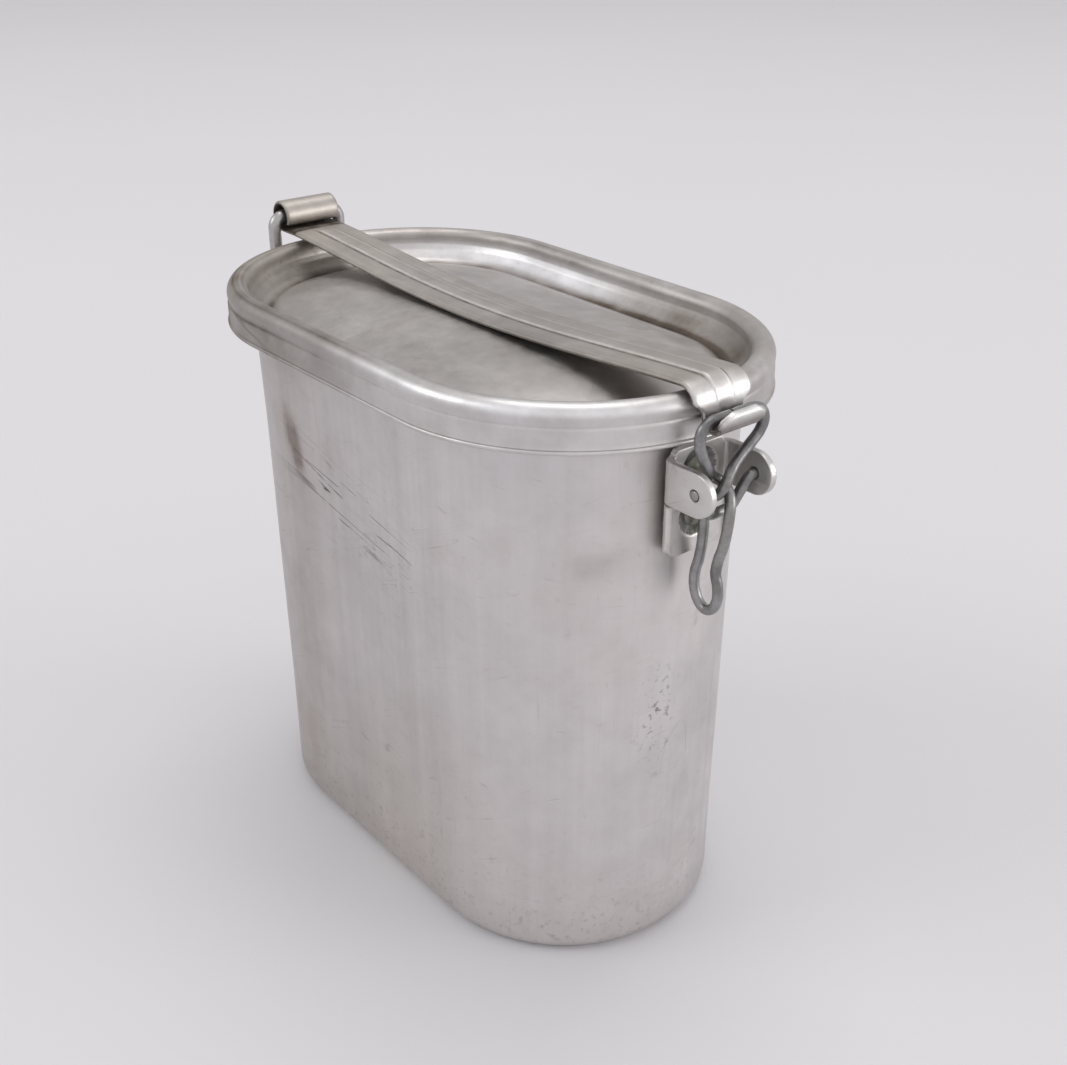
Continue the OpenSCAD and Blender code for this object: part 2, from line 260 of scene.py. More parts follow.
# ---------------------------------------------------------------- materials
class Nodes:
    """Short calls for building a material's node tree."""

    def __init__(self, name):
        self.material = bpy.data.materials.new(name)
        self.material.use_nodes = True
        self.tree = self.material.node_tree
        self.shader = self.tree.nodes["Principled BSDF"]

    def add(self, kind, **values):
        node = self.tree.nodes.new("ShaderNode" + kind)
        for key, value in values.items():
            setattr(node, key, value)
        return node

    def link(self, a, b):
        self.tree.links.new(a, b)

    def place(self, scale, turn=(0, 0, 0), attribute=None):
        """Object coordinates, or an attribute, scaled per axis."""
        # the texture form of mapping turns first and then divides by the scale
        mapping = self.add("Mapping", vector_type="TEXTURE")
        mapping.inputs["Scale"].default_value = [1 / v for v in scale]
        mapping.inputs["Rotation"].default_value = [math.radians(a) for a in turn]
        if attribute:
            source = self.add("Attribute", attribute_name=attribute).outputs["Vector"]
        else:
            source = self.add("TexCoord").outputs["Object"]
        self.link(source, mapping.inputs["Vector"])
        return mapping.outputs["Vector"]

    def noise(self, vector, scale=1.0, detail=4.0, rough=0.55, distort=0.0):
        node = self.add("TexNoise")
        node.inputs["Scale"].default_value = scale
        node.inputs["Detail"].default_value = detail
        node.inputs["Roughness"].default_value = rough
        node.inputs["Distortion"].default_value = distort
        self.link(vector, node.inputs["Vector"])
        return node.outputs["Fac"]

    def ramp(self, value, *stops):
        """A colour ramp: stops of (position, grey or colour)."""
        node = self.add("ValToRGB")
        while len(node.color_ramp.elements) < len(stops):
            node.color_ramp.elements.new(0.5)
        for element, (position, colour) in zip(node.color_ramp.elements, stops):
            element.position = position
            colour = (colour,) * 3 if isinstance(colour, (int, float)) else colour
            element.color = (*colour, 1)
        self.link(value, node.inputs["Fac"])
        return node.outputs["Color"]

    def painted(self, key):
        """A value stored on the mesh's points."""
        return self.add("Attribute", attribute_name=key).outputs["Fac"]

    def math(self, operation, a, b=None, clamp=False):
        node = self.add("Math", operation=operation, use_clamp=clamp)
        for socket, value in zip(node.inputs, (a, b)):
            if value is None:
                continue
            if isinstance(value, (int, float)):
                socket.default_value = value
            else:
                self.link(value, socket)
        return node.outputs[0]

    def mix(self, factor, a, b):
        node = self.add("Mix", data_type="RGBA")
        for socket, value in ((node.inputs[0], factor), (node.inputs[6], a), (node.inputs[7], b)):
            if isinstance(value, (int, float)):
                socket.default_value = value
            elif isinstance(value, tuple):
                socket.default_value = (*value, 1)
            else:
                self.link(value, socket)
        return node.outputs[2]

    def contour(self, value, width):
        """Thin lines where a noise passes through its middle value."""
        away = self.math("ABSOLUTE", self.math("SUBTRACT", value, 0.5))
        return self.ramp(away, (0.0, 1.0), (width, 0.0))

    def relief(self, height, strength, distance, normal=None):
        """The normal of raised and sunk detail, its depth in metres, on top of another normal."""
        node = self.add("Bump")
        node.inputs["Strength"].default_value = strength
        node.inputs["Distance"].default_value = distance
        self.link(height, node.inputs["Height"])
        if normal:
            self.link(normal, node.inputs["Normal"])
        return node.outputs["Normal"]


# Each way is a turn in degrees and a scale per axis: fast across a scratch, slow along it.
WALL_SCRATCHES = (((0, 0, 0), (700, 12, 14)), ((0, 62, 0), (560, 12, 16)),
                  ((0, -24, 0), (14, 12, 620)), ((0, 12, 0), (16, 12, 480)))
TOP_SCRATCHES = (((0, 0, 20), (16, 560, 12)), ((0, 0, -50), (18, 620, 12)),
                 ((0, 0, 75), (14, 520, 12)))


def stained(n, plain, cloud, amount):
    """Soft blotches with sharper specks inside them."""
    blotch = n.ramp(n.noise(plain, 42, 5, 0.65, 0.6), (0.56, 0.0), (0.72, 1.0))
    specks = n.ramp(n.noise(plain, 260, 4, 0.7), (0.60, 0.0), (0.70, 1.0))
    spots = n.math("MULTIPLY", specks, n.ramp(cloud, (0.46, 0.0), (0.60, 1.0)))
    both = n.math("ADD", n.math("MULTIPLY", blotch, 0.5), n.math("MULTIPLY", spots, 0.8))
    return n.math("MULTIPLY", both, amount, clamp=True)


def scratched(n, plain, ways):
    """Thin contour lines of noise stretched in several directions, in patches."""
    marks = None
    for k, (turn, stretch) in enumerate(ways):
        line = n.contour(n.noise(n.place(stretch, turn), 1.0, 0.0, 0.4), 0.008)
        patch = n.ramp(n.noise(plain, 45 + 17 * k, 3, 0.6), (0.54, 0.0), (0.62, 1.0))
        line = n.math("MULTIPLY", line, patch)
        marks = line if marks is None else n.math("MAXIMUM", marks, line)
    return marks


def worn_metal(name, light, dark, rough, grain, attribute=None, stain=0.35, scratch=0.5,
               pits=0.5, dent=0.25, stain_colour=(0.30, 0.245, 0.19), contrast=1.0, extra=None,
               scratch_ways=WALL_SCRATCHES):
    """Worn bare metal: grain, mottling, stains, scratches, pits and uneven sheet."""
    n = Nodes(name)
    plain = n.place((1, 1, 1))
    wide_grain = tuple(g * 0.16 for g in grain)
    grain_fine = n.noise(n.place(grain, attribute=attribute), 1.0, 5, 0.6)
    grain_wide = n.noise(n.place(wide_grain, attribute=attribute), 1.0, 4, 0.6)
    mottle = n.noise(plain, 26, 6, 0.62, 0.3)
    cloud = n.noise(plain, 9, 3, 0.5)
    speck = n.noise(plain, 900, 3, 0.7)

    # colour: two greys mixed by clouds and grain
    patina = n.noise(plain, 130, 8, 0.72, 0.2)
    shade = n.math("ADD", n.math("MULTIPLY", mottle, 0.35), n.math("MULTIPLY", grain_wide, 0.3))
    shade = n.math("ADD", shade, n.math("MULTIPLY", patina, 0.35))
    spread = 0.14 / contrast
    colour = n.mix(n.ramp(shade, (0.5 - spread, 0.0), (0.5 + spread, 1.0)), dark, light)
    colour = n.mix(n.math("MULTIPLY", n.ramp(grain_fine, (0.35, 1.0), (0.62, 0.0)), 0.22), colour, dark)
    warm = n.ramp(cloud, (0.42, 0.0), (0.66, 1.0))
    tint = tuple(c * w for c, w in zip(light, (0.97, 0.93, 0.86)))
    colour = n.mix(n.math("MULTIPLY", warm, 0.5), colour, tint)

    stains = stained(n, plain, cloud, stain)
    colour = n.mix(stains, colour, stain_colour)
    marks = scratched(n, plain, scratch_ways)
    colour = n.mix(n.math("MULTIPLY", marks, 0.55 * scratch), colour, tuple(c * 0.35 for c in dark))

    # pits: small dark dots
    dots = n.ramp(speck, (0.68, 0.0), (0.76, 1.0))
    dots = n.math("MULTIPLY", dots, n.ramp(mottle, (0.45, 0.0), (0.6, 1.0)))
    colour = n.mix(n.math("MULTIPLY", dots, 0.6 * pits), colour, tuple(c * 0.4 for c in dark))

    if extra:
        colour, extra_rough = extra(n, colour)
    n.link(colour, n.shader.inputs["Base Color"])
    n.shader.inputs["Metallic"].default_value = 1.0

    # roughness: rougher where it is mottled, stained or soiled
    roughness = n.math("ADD", n.math("MULTIPLY", grain_fine, 0.16), rough - 0.08)
    roughness = n.math("ADD", roughness, n.math("MULTIPLY", n.math("SUBTRACT", mottle, 0.5), 0.22))
    roughness = n.math("ADD", roughness, n.math("MULTIPLY", n.math("SUBTRACT", patina, 0.5), 0.30))
    roughness = n.math("ADD", roughness, n.math("MULTIPLY", stains, 0.25))
    if extra:
        roughness = n.math("ADD", roughness, extra_rough)
    n.link(n.math("MINIMUM", n.math("MAXIMUM", roughness, 0.16), 0.85), n.shader.inputs["Roughness"])

    # relief: uneven sheet, then grain, scratches and pits
    uneven = n.relief(n.noise(plain, 38, 2, 0.45), 1.0, dent * MM)
    height = n.math("SUBTRACT", n.math("MULTIPLY", grain_fine, 0.8), n.math("MULTIPLY", marks, 0.8))
    height = n.math("ADD", height, n.math("MULTIPLY", patina, 1.2))
    height = n.math("SUBTRACT", height, n.math("MULTIPLY", dots, 0.8))
    n.link(n.relief(height, 0.5, 0.05 * MM, uneven), n.shader.inputs["Normal"])
    return n.material


def sheen_and_wear_mask(n, plain, scale, low, high):
    """How far the metal is painted bright, as painted sheen and as rubbed wear, where the mesh asks for
    it.
    """
    return n.math("MULTIPLY", n.painted("wear_and_sheen"), n.ramp(n.noise(plain, scale, 4, 0.6), low, high))


def soiled_and_shaded(soil_and_shade_colour, strength, patch):
    """Dirt and painted shade where the mesh asks for them, broken up by noise."""
    def extra(n, colour):
        plain = n.place((1, 1, 1))
        broken = n.ramp(n.noise(plain, patch, 5, 0.65, 0.3), (0.30, 0.45), (0.62, 1.0))
        raw = n.math("MULTIPLY", n.math("MULTIPLY", n.painted("soil_and_shade"), broken), strength)
        soil_and_shade = n.math("MINIMUM", raw, 1.0)
        colour = n.mix(soil_and_shade, colour, soil_and_shade_colour)
        # the thickest dirt and deepest painted shade are darker still
        thick = n.math("MULTIPLY", n.math("SUBTRACT", raw, 1.0, clamp=True), 0.8)
        colour = n.mix(thick, colour, tuple(c * 0.3 for c in soil_and_shade_colour))
        return colour, n.math("MULTIPLY", soil_and_shade, 0.22)
    return extra


def scored(soil_and_shade_colour):
    """Soil and painted shade, painted sheen and rubbed places, long dark scratches and dark specks,
    each where the mesh is painted.
    """
    def extra(n, colour):
        plain = n.place((1, 1, 1))
        sheen_and_wear = sheen_and_wear_mask(n, plain, 90, (0.30, 0.5), (0.60, 1.0))
        colour = n.mix(sheen_and_wear, colour, SHEET_SHEEN_AND_WEAR)
        colour, rough = soiled_and_shaded(soil_and_shade_colour, 1.0, 45)(n, colour)
        for turn, stretch in (((0, 13, 0), (10, 8, 300)), ((0, 9, 0), (14, 8, 420))):
            line = n.contour(n.noise(n.place(stretch, turn), 1.0, 0.0, 0.5), 0.03)
            patch = n.noise(n.place((32, 22, 170), turn), 1.0, 4, 0.7)
            line = n.math("MULTIPLY", line, n.ramp(patch, (0.50, 0.0), (0.56, 1.0)))
            line = n.math("MULTIPLY", line, n.painted("marks"), clamp=True)
            colour = n.mix(n.math("MULTIPLY", line, 0.8), colour, SCRATCH_GREY)
        spots = n.ramp(n.noise(plain, 520, 3, 0.6), (0.56, 0.0), (0.66, 1.0))
        spots = n.math("MULTIPLY", spots, n.painted("specks"))
        colour = n.mix(n.math("MULTIPLY", spots, 0.8), colour, SPECK_GREY)
        return colour, n.math("SUBTRACT", rough, n.math("MULTIPLY", sheen_and_wear, 0.06))
    return extra


def strap_grime_shade_and_sheen(n, colour):
    """Painted shade and grime along the rib and at the eye, and painted highlights, partly rubbed wear,
    on the rib's edges and where it bends over the rim.
    """
    colour, rough = soiled_and_shaded(STRAP_GRIME_AND_SHADE, 0.95, 160)(n, colour)
    sheen_and_wear = sheen_and_wear_mask(n, n.place((1, 1, 1)), 160, (0.30, 0.55), (0.55, 1.0))
    colour = n.mix(sheen_and_wear, colour, STRAP_SHEEN_AND_WEAR)
    return colour, n.math("SUBTRACT", rough, n.math("MULTIPLY", sheen_and_wear, 0.08))


# the dirt colours here also stand for painted shade, and the rubbed colours for painted sheen as well
# as wear
BROWN_DIRT_AND_SHADE, DIMPLE_DIRT_AND_SHADE, POT_DARK_BROWN = (0.16, 0.132, 0.108), (0.06, 0.065, 0.052), (0.36, 0.32, 0.295)
STRAP_GRIME_AND_SHADE, SCRATCH_GREY, SPECK_GREY = (0.10, 0.085, 0.07), (0.07, 0.065, 0.065), (0.12, 0.11, 0.11)
SHEET_SHEEN_AND_WEAR, STRAP_SHEEN_AND_WEAR = (0.90, 0.89, 0.91), (0.93, 0.92, 0.91)
pot_metal = worn_metal("pot_metal", (0.69, 0.665, 0.66), (0.52, 0.50, 0.49), 0.47, (1100, 1100, 22),
                       stain=0.25, scratch=0.55, extra=scored(POT_DARK_BROWN))
lid_metal = worn_metal("lid_metal", (0.61, 0.59, 0.575), (0.42, 0.40, 0.385), 0.44, (380, 380, 380),
                       stain=0.45, scratch=0.4, extra=scored(BROWN_DIRT_AND_SHADE), scratch_ways=TOP_SCRATCHES)
strap_metal = worn_metal("strap_metal", (0.55, 0.52, 0.49), (0.35, 0.325, 0.30), 0.46,
                         (30, 1500, 400), attribute="flow", stain=0.40, scratch=0.3,
                         extra=strap_grime_shade_and_sheen, scratch_ways=TOP_SCRATCHES)
bracket_metal = worn_metal("bracket_metal", (0.74, 0.73, 0.72), (0.55, 0.54, 0.53), 0.42,
                           (500, 500, 500), stain=0.4, scratch=0.4, dent=0.1,
                           extra=soiled_and_shaded(DIMPLE_DIRT_AND_SHADE, 0.95, 220))
rivet_metal = worn_metal("rivet_metal", (0.28, 0.285, 0.25), (0.11, 0.115, 0.09), 0.44,
                         (500, 500, 500), stain=0.7, scratch=0.4, dent=0.05)
ring_metal = worn_metal("ring_metal", (0.54, 0.54, 0.55), (0.34, 0.34, 0.34), 0.40,
                        (500, 500, 120), stain=0.3, dent=0.05)
latch_wire = worn_metal("latch_wire", (0.46, 0.46, 0.47), (0.085, 0.085, 0.085), 0.38,
                        (700, 700, 700), stain=0.5, stain_colour=(0.22, 0.19, 0.14),
                        scratch=0.8, pits=0.9, dent=0.08, contrast=1.3)


# ----------------------------------------------------------------------- pot
def pot_profile():
    """The pot's section: base and wall outside, the rolled bead, then wall and base inside."""
    t, flat_r, inner_r = SHEET, BASE_R - BASE_CORNER, WALL_R - SHEET
    outer = resample([(0, 0), (flat_r, 0)], 4)
    outer += arc((flat_r, BASE_CORNER), BASE_CORNER, -90, 0, 14)[1:]
    neck = rounded([(BASE_R, BASE_CORNER + 0.5), (WALL_R, NECK_LOW), (NECK_R + t / 2, NECK_HIGH),
                    (NECK_R + t / 2, RIM_Z - 1.65)], (5, 4))
    outer += resample(neck, 3.0)
    bead = arc((BEAD_R, RIM_Z), 1.7, -104, 199, 26)
    neck_in = rounded([(NECK_R - t / 2, RIM_Z - 0.7), (NECK_R - t / 2, NECK_HIGH + 0.3),
                       (inner_r, NECK_LOW + 0.3), (BASE_R - t, BASE_CORNER + 0.5)], (4, 5))
    inner = resample(neck_in, 4.0)
    inner += arc((flat_r, BASE_CORNER), BASE_CORNER - t, 0, -90, 12)[1:]
    inner += resample([(flat_r, t), (0, t)], 4)[1:]
    return outer + bead + inner


def pot_dents(points, normal, r):
    """Slightly uneven walls, only ever inwards, and a shallow rise in the middle of the base."""
    # none near the rim, the brackets or the base
    wall = np.clip((points[:, 2] - 8) / 30, 0, 1) * np.clip((150 - points[:, 2]) / 20, 0, 1)
    wall *= (r > 30) * np.clip((76 - np.abs(points[:, 0])) / 12, 0, 1)
    push = 0.25 * (wave(points, 55, 1) - 1)
    points[:, :2] += normal * (push * wall)[:, None]
    dish_r = BASE_R - 8
    base = (points[:, 2] < 3) * (r < dish_r)
    points[:, 2] += base * 0.7 * np.clip((dish_r - r) / 12, 0, 1) ** 1.5
    return points


def pot_paint(verts):
    """Where the pot is soiled and darkened, scratched, specked and brightened."""
    x, y, z = verts.T
    front = smooth(0, -20, y)
    # darker and browner towards the back end, and in a band above the base
    soil_and_shade = (0.5 * smooth(20, -50, x) + 0.8 * smooth(-58, -80, x)) * smooth(60, 20, y)
    soil_and_shade *= 0.75 + 0.35 * wave(verts, 26, 11)
    soil_and_shade += 0.18 * smooth(20, 2, z) * (0.6 + 0.5 * wave(verts, 18, 12))
    # a smudge high on the side, and a brown patch beside the latch
    smudge = bump(x + 0.25 * (z - 131), -32, 2.6) * bump(z, 131, 7)
    soil_and_shade += 3.5 * smudge * front * (1.0 + 0.6 * wave(verts, 5, 13))
    soil_and_shade += 0.7 * bump(x, 75, 5) * bump(z, 127, 3) * front * (0.5 + wave(verts, 5, 14))
    # long scratches that slope gently across the side
    marks = 2.8 * bump(x, 0, 25) * bump(z + 0.22 * x, 118.5, 5) * front
    marks += 0.5 * bump(x, -5, 30) * bump(z + 0.22 * x, 122, 16) * front
    # specks under the latch, on the side and above the base
    specks = 0.9 * bump(y, -6, 5) * bump(z, 78, 13) * (x > 60)
    specks += 0.2 * bump(x, 10, 22) * bump(z, 112, 12) * front
    specks += 0.2 * smooth(40, 5, z)
    wear_and_sheen = 0.25 * smooth(20, 60, x) * smooth(50, -20, y)
    return {"soil_and_shade": soil_and_shade, "marks": marks, "specks": specks, "wear_and_sheen": wear_and_sheen}


def pot():
    """The deep oval pot, open at the top."""
    verts, faces, _, _ = sweep_oval(pot_profile(), pot_dents)
    make("pot_shell", verts, faces, "pot", ["pot"], pot_metal, paint=pot_paint(verts))


# ----------------------------------------------------------------------- lid
def lid_middle():
    """The middle of the lid's sheet, from the skirt's edge over the rim to the floor's middle."""
    skirt_r, dome_rise, dome_power = BEAD_R + 2.5, 6.1, 2.6
    skirt = [(skirt_r + 0.4, RIM_Z - 8.2), (skirt_r + 0.2, RIM_Z - 8.15), (skirt_r, RIM_Z - 7.3),
             (skirt_r + 0.05, RIM_Z - 4.8), (skirt_r + 0.05, RIM_Z - 2.8),
             (skirt_r - 0.18, RIM_Z - 2.1), (skirt_r - 0.05, RIM_Z - 1.3)]
    skirt = rounded(skirt, (0.4, 0.9, 3, 1.2, 1.2), 5)
    over = arc((BEAD_R, RIM_Z), 2.6, -8, 176, 26)
    cove = [over[-1], (BEAD_R - 3.0, RIM_Z - 1.4), (BEAD_R - 3.9, RIM_Z - 3.1),
            (BEAD_R - 6.7, RIM_Z - 5.9), (CREASE_R, CREASE_Z), (CREASE_R - 2.8, CREASE_Z + 1.0)]
    well = rounded(cove, (3, 4, 5, 1.4), 7)
    well += [(r, CREASE_Z + dome_rise * (1 - (r / CREASE_R) ** dome_power))
             for r in np.linspace(CREASE_R - 3.9, 0.8, 30)]
    # points that almost coincide would turn the sheet's direction, so they are dropped
    middle = []
    for p in resample(skirt + over + well[1:], 1.6):
        if not middle or math.dist(p, middle[-1]) > 0.05:
            middle.append(p)
    return middle


def lid_profile():
    """The lid's section: its sheet thickened to either side, with a round edge on the skirt."""
    middle = lid_middle()
    top, under = offset(middle, -SHEET / 2), offset(middle, SHEET / 2)
    edge = np.array(middle[0])
    (under_r, under_z), (top_r, top_z) = under[0] - edge, top[0] - edge
    start, end, steps = math.atan2(under_z, under_r), math.atan2(top_z, top_r), 8
    lip = []
    for k in range(1, steps):
        a = start + (end - start) * k / steps
        lip.append(edge + SHEET / 2 * np.array((math.cos(a), math.sin(a))))
    return [*top, (0, top[-1][1]), (0, under[-1][1]), *under[::-1], *lip]


def lid_dents(points, normal, r):
    """A slightly uneven floor, only ever lower, and rim, only ever inwards."""
    floor = smooth(40, 32, r)
    points[:, 2] += floor * 0.22 * (wave(points, 34, 3) - 1)
    rim = (r > 42) * np.clip((points[:, 2] - 163) / 6, 0, 1)
    points[:, :2] += normal * (rim * 0.12 * (wave(points, 30, 6) - 1))[:, None]
    return points


def lid_paint(verts, normals, radii):
    """Where the lid is soiled and given painted shade and painted highlights, scratched and specked."""
    x, y, z = verts.T
    nx, ny = normals.T
    far, near, back = smooth(0.2, 0.8, ny), smooth(0.2, -0.5, ny), smooth(20, -60, x)
    near_right = smooth(0.15, 0.75, nx) * smooth(0.5, -0.3, ny)
    outside, low, high = radii > 50, z < RIM_Z - 0.5, z > RIM_Z - 0.5
    rough_edge = 0.5 + 0.7 * wave(verts, 14, 21) + 0.3 * wave(verts, 5, 22)
    # dirt and painted shade in the crease round the floor, thickest at the far side and the near right,
    # and the floor
    crease = bump(radii, 41.5, 1.5) * (z < 165.5)
    thick = 0.9 + 1.3 * far * smooth(-20, 30, x) + 0.9 * near_right
    soil_and_shade = crease * thick * (0.6 + 0.8 * rough_edge)
    # dirt and a painted dark reflection low in the cove at the near right
    soil_and_shade += bump(radii, 44.5, 2.6) * (z < RIM_Z - 1) * near_right * 0.40 * rough_edge
    soil_and_shade += 0.14 * smooth(42, 36, radii) * (0.5 + 0.8 * wave(verts, 22, 23))
    # the skirt: its groove, its back end and its near side
    soil_and_shade += bump(z, 167.0, 0.5) * outside * (0.15 + 0.7 * back) * rough_edge
    soil_and_shade += outside * low * back * smooth(20, -20, y) * (0.30 + 0.35 * wave(verts, 12, 24))
    soil_and_shade += outside * near * smooth(70, -10, x) * (0.36 + 0.25 * wave(verts, 15, 28))
    # the right end of the cove is the darkest: dirt and a painted dark reflection
    end = smooth(52, 74, x) * bump(radii, 44.0, 3.4) * low
    soil_and_shade += end * (0.45 + 0.35 * wave(verts, 9, 25))
    # the far side of the cove has a painted highlight at the back end, and dirt with a painted dark
    # reflection towards the latch
    cove = bump(radii, 45.2, 2.4) * (z < RIM_Z + 1)
    soil_and_shade += cove * far * smooth(-10, 30, x) * (0.8 + 0.4 * wave(verts, 13, 26))
    # the rim: grime on the near side and inner edge, and dark lines rubbed along it
    soil_and_shade += bump(radii, 50.8, 2.0) * high * near * smooth(45, -5, x) * 0.45 * rough_edge
    soil_and_shade += bump(radii, 49.5, 3) * (z > RIM_Z - 1) * 0.22 * (0.7 + wave(verts, 11, 27))
    for line_r in (47.6, 49.2, 51.9):
        broken = smooth(0.6, 0.2, wave(verts, 17, line_r))
        soil_and_shade += 0.45 * bump(radii, line_r, 0.4) * high * smooth(45, -10, x) * broken
    # painted highlights at the far cove's back end, the floor's far edge, and the near rim and skirt
    wear_and_sheen = 0.9 * cove * far * smooth(25, -15, x)
    wear_and_sheen += 0.35 * smooth(40, 36, radii) * bump(radii, 38, 3) * far
    wear_and_sheen += outside * near * smooth(-15, 35, x) * (0.40 + 0.5 * bump(z, 170.6, 1.0))
    marks = 1.6 * smooth(-20, -60, x) * smooth(0, -20, y) * (radii > 52.5) * (z < RIM_Z - 1)
    return {"soil_and_shade": soil_and_shade, "marks": marks, "wear_and_sheen": wear_and_sheen, "specks": 0.08 * far * (radii > 42)}


def lid():
    """The lid, with a rolled rim, a short skirt and a sunken, domed floor."""
    verts, faces, normals, radii = sweep_oval(lid_profile(), lid_dents)
    make("lid_shell", verts, faces, "lid", ["lid"], lid_metal,
         paint=lid_paint(verts, normals, radii))


# --------------------------------------------------------------------- strap
RIB, RIB_H, RIB_H_BEND = 2.7, 0.55, 0.18
EYE_R = 4.1


def hook_half(x, z):
    """Half the strap's width: full, then a narrow neck, then the leaf-shaped tongue."""
    full, neck = STRAP_W / 2, 6.6
    if x < BEND[0] + 2:
        return full
    if x < HOOK[0] + 1.6:
        return neck + (full - neck) * float(smooth(HOOK[1] + 0.8, HOOK[1] + 3.6, z))
    high, wide = 3.5, 8.3
    radius = (wide * wide + high * high) / (2 * high)
    up = abs(z - (HOOK[1] - 0.5)) + radius - high
    leaf = math.sqrt(max(0.5, radius * radius - up * up))
    return max(leaf, neck if z < HOOK[1] - 0.5 else 0.5)


def strap_path():
    """The middle of the strap, from the rolled eye to the tongue's tip, as (along X, up)."""
    start, end, sag = EYE[0] + 6.5, BEND[0], 4.6
    path = arc(EYE, EYE_R, -28, 270, 40)
    path += [(EYE[0] + k, STRAP_MID) for k in (2, 4)]
    for x in np.linspace(start, end, 70):
        lean = max(math.cos(math.radians(90 * x / max(-start, end))), 0)
        path.append((x, STRAP_MID - sag * lean ** 1.3))
    path += arc(BEND[:2], BEND[2], 90, 0, 16)[1:]
    path.append((BEND[0] + BEND[2], HOOK[1] + 0.8))
    path += arc(HOOK[:2], HOOK[2], 180, 340, 30)
    path.append((HOOK[0] + HOOK[2] + 0.4, HOOK[1] + 0.5))
    path.append((HOOK[0] + HOOK[2] + 1.0, HOOK[1] + 2.2))
    return np.array(resample(path, 2.0), float)


def strap_columns():
    """Columns across the strap, as shares of its half width, closest at the rib's edges."""
    full = STRAP_W / 2
    fine = np.array((-0.7, -0.45, -0.28, -0.14, 0, 0.14, 0.28, 0.45, 0.7))
    wide = full * np.sin(np.linspace(0, 1, 16) * math.pi / 2)
    right = np.concatenate([wide[np.abs(wide - RIB) > 0.8], RIB + fine])
    return np.sort(np.concatenate([-right[right > 0], right])) / full


def strap_section(across, half_w, rib_h):
    """(across, level) points round the section: the upper face, then back along the lower."""
    full, edge_w, crown_y = STRAP_W / 2, 0.55, 5.2
    section = []
    for side in (1, -1):
        for a in across[::side]:
            y = a * half_w
            edge = max(0.0, (abs(y) - (half_w - edge_w)) / edge_w)
            h = STRAP_T / 2 * math.sqrt(max(0.0, 1 - edge ** 2))
            crown = 0.32 * max(0.0, (abs(y) - crown_y) / (full - crown_y)) ** 2
            rib = rib_h / (1 + math.exp((abs(y) - RIB) / 0.1))
            section.append((y, h - crown + rib if side == 1 else -h + rib * 0.6))
    return section


def strap():
    """The flat strap, with a rolled eye, a rib along it, and a hook that ends in a tongue."""
    p = strap_path()
    s = np.concatenate([[0], np.cumsum(np.linalg.norm(np.diff(p, axis=0), axis=1))])
    # outer side of the strap: its left when walking from the eye to the hook
    out = offset(p, 1) - p
    eye_end = s[np.argmin(np.abs(p[:, 0] - (EYE[0] + 6)) + 100 * (p[:, 1] > EYE[1] - 2))]
    s_hook = s[np.argmin(np.hypot(p[:, 0] - (HOOK[0] - HOOK[2]), p[:, 1] - HOOK[1]))]
    across = strap_columns()
    verts, flow, soil_and_shade, wear_and_sheen = [], [], [], []
    for (x, z), away, along in zip(p, out, s):
        rise = min(1.0, max(0.0, (along - eye_end - 1) / 7))
        rise *= min(1.0, max(0.0, (s_hook - 0.5 - along) / 3.0))
        rise = rise * rise * (3 - 2 * rise)
        # the rib is lower over the bend, where the bail passes close above it
        rib_h = RIB_H - (RIB_H - RIB_H_BEND) * smooth(87.5, 90.5, x)
        rolled = 1.4 * (along < eye_end) + 1.5 * bump(along, eye_end + 0.8, 1.2)
        front = smooth(BEND[0] + 1, BEND[0] + 4.5, x) * smooth(HOOK[1] - 1, HOOK[1] + 1.5, z)
        tip = smooth(HOOK[0] + 1, HOOK[0] + 3, x)
        for y, level in strap_section(across, hook_half(x, z), rib_h * rise):
            verts.append((x + away[0] * level, y, z + away[1] * level))
            flow.append((along, y, level))
            upper = level > 0
            # painted shade along the foot of the rib, and a painted highlight along its edges
            line = bump(y, RIB + 0.4, 0.4) + 0.8 * bump(y, -RIB - 0.4, 0.4)
            rib_highlight = 0.85 * bump(y, RIB - 0.2, 0.3) + 0.45 * bump(y, -RIB + 0.2, 0.3)
            # painted shade at the rib's foot, the rolled eye darkened with painted shade in the slot
            # under the roll, grime on the edges and tip
            grime_and_shade = (1.3 * rise * line + rolled) * upper
            soil_and_shade.append(grime_and_shade + 0.35 * bump(abs(y), 9.3, 0.5) + 0.6 * tip)
            # painted highlights on the rib's edges and down the front below the bend, partly wear, and
            # a little wear at the tip
            wear_and_sheen.append(float(rise * rib_highlight * upper + 0.7 * front + 0.1 * tip))
    count = len(across)
    faces = grid_faces(len(p), 2 * count, False, True)
    for base in (0, (len(p) - 1) * 2 * count):
        last = base + 2 * count - 1
        faces += [(base + j, base + j + 1, last - 1 - j, last - j) for j in range(count - 1)]
    make("strap_band", verts, faces, "strap", ["strap"], strap_metal, flow,
         paint={"soil_and_shade": np.array(soil_and_shade), "wear_and_sheen": np.array(wear_and_sheen)})


# --------------------------------------------------------------------- wires
def rear_ring():
    """A closed rectangular ring with round corners, upright behind the pot."""
    leg, corner = STRAP_W / 2 + 2.4, 3.5
    low, high = PIVOT[1], EYE[1]
    path = []
    for cy, cz, start in ((leg - corner, high - corner, 0), (-(leg - corner), high - corner, 90),
                          (-(leg - corner), low + corner, 180), (leg - corner, low + corner, 270)):
        path += arc((cy, cz), corner, start, start + 90, 9)
    path.append(path[0])
    path = resample(path, 1.5)[:-1]
    points = [(EYE[0], y, z) for y, z in path]
    verts, faces, flow = tube(points, RING_D, 28, 0.03, closed=True)
    make("ring_wire", verts, faces, "ring", ["rear_ring"], ring_metal, flow)


